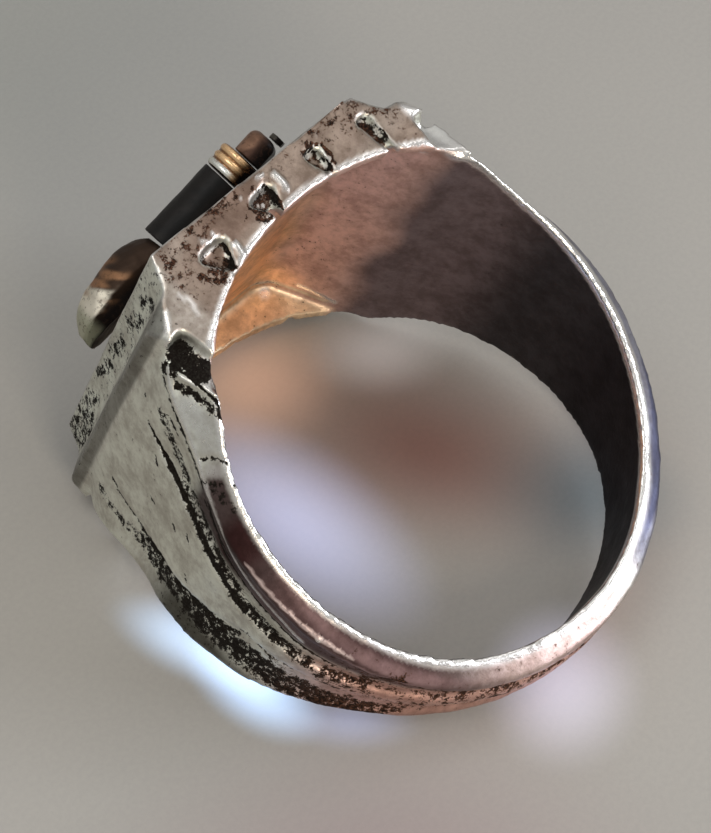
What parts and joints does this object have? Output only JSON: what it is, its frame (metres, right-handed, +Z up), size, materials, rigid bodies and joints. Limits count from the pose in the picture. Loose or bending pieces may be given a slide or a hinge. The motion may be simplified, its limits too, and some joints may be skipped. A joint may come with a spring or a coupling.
{
  "type": "signet ring with a hollow rectangular head",
  "caption": "Heavy cast silver finger ring with a hollow rectangular head, tapering grooved shoulders and a mixed-metal rod ornament laid across the face.",
  "frame": {"origin": "centre of the bounding box on the plane that the ring lies on", "axes": "+Z up; +Y towards the head, so the finger axis leans 19.2 degrees from +Z towards -Y; +X across the head"},
  "size_m": [0.0216, 0.0252, 0.0166],
  "materials": {
    "silver": "worn cast silver, polished high spots, brown and black oxide in the recesses",
    "lobe_brass": "browned brass with pale worn streaks",
    "black_bar": "blackened metal, satin",
    "wire": "bright drawn brass wire",
    "copper": "browned copper",
    "pale_tip": "pale silver with a green-grey film"
  },
  "bodies": {
    "root": {"ring_body": "silver", "ornament_lobe": "lobe_brass", "ornament_bar": "black_bar", "ornament_collar": "wire", "ornament_butt": "copper", "ornament_end": "pale_tip"}
  },
  "joints": []
}
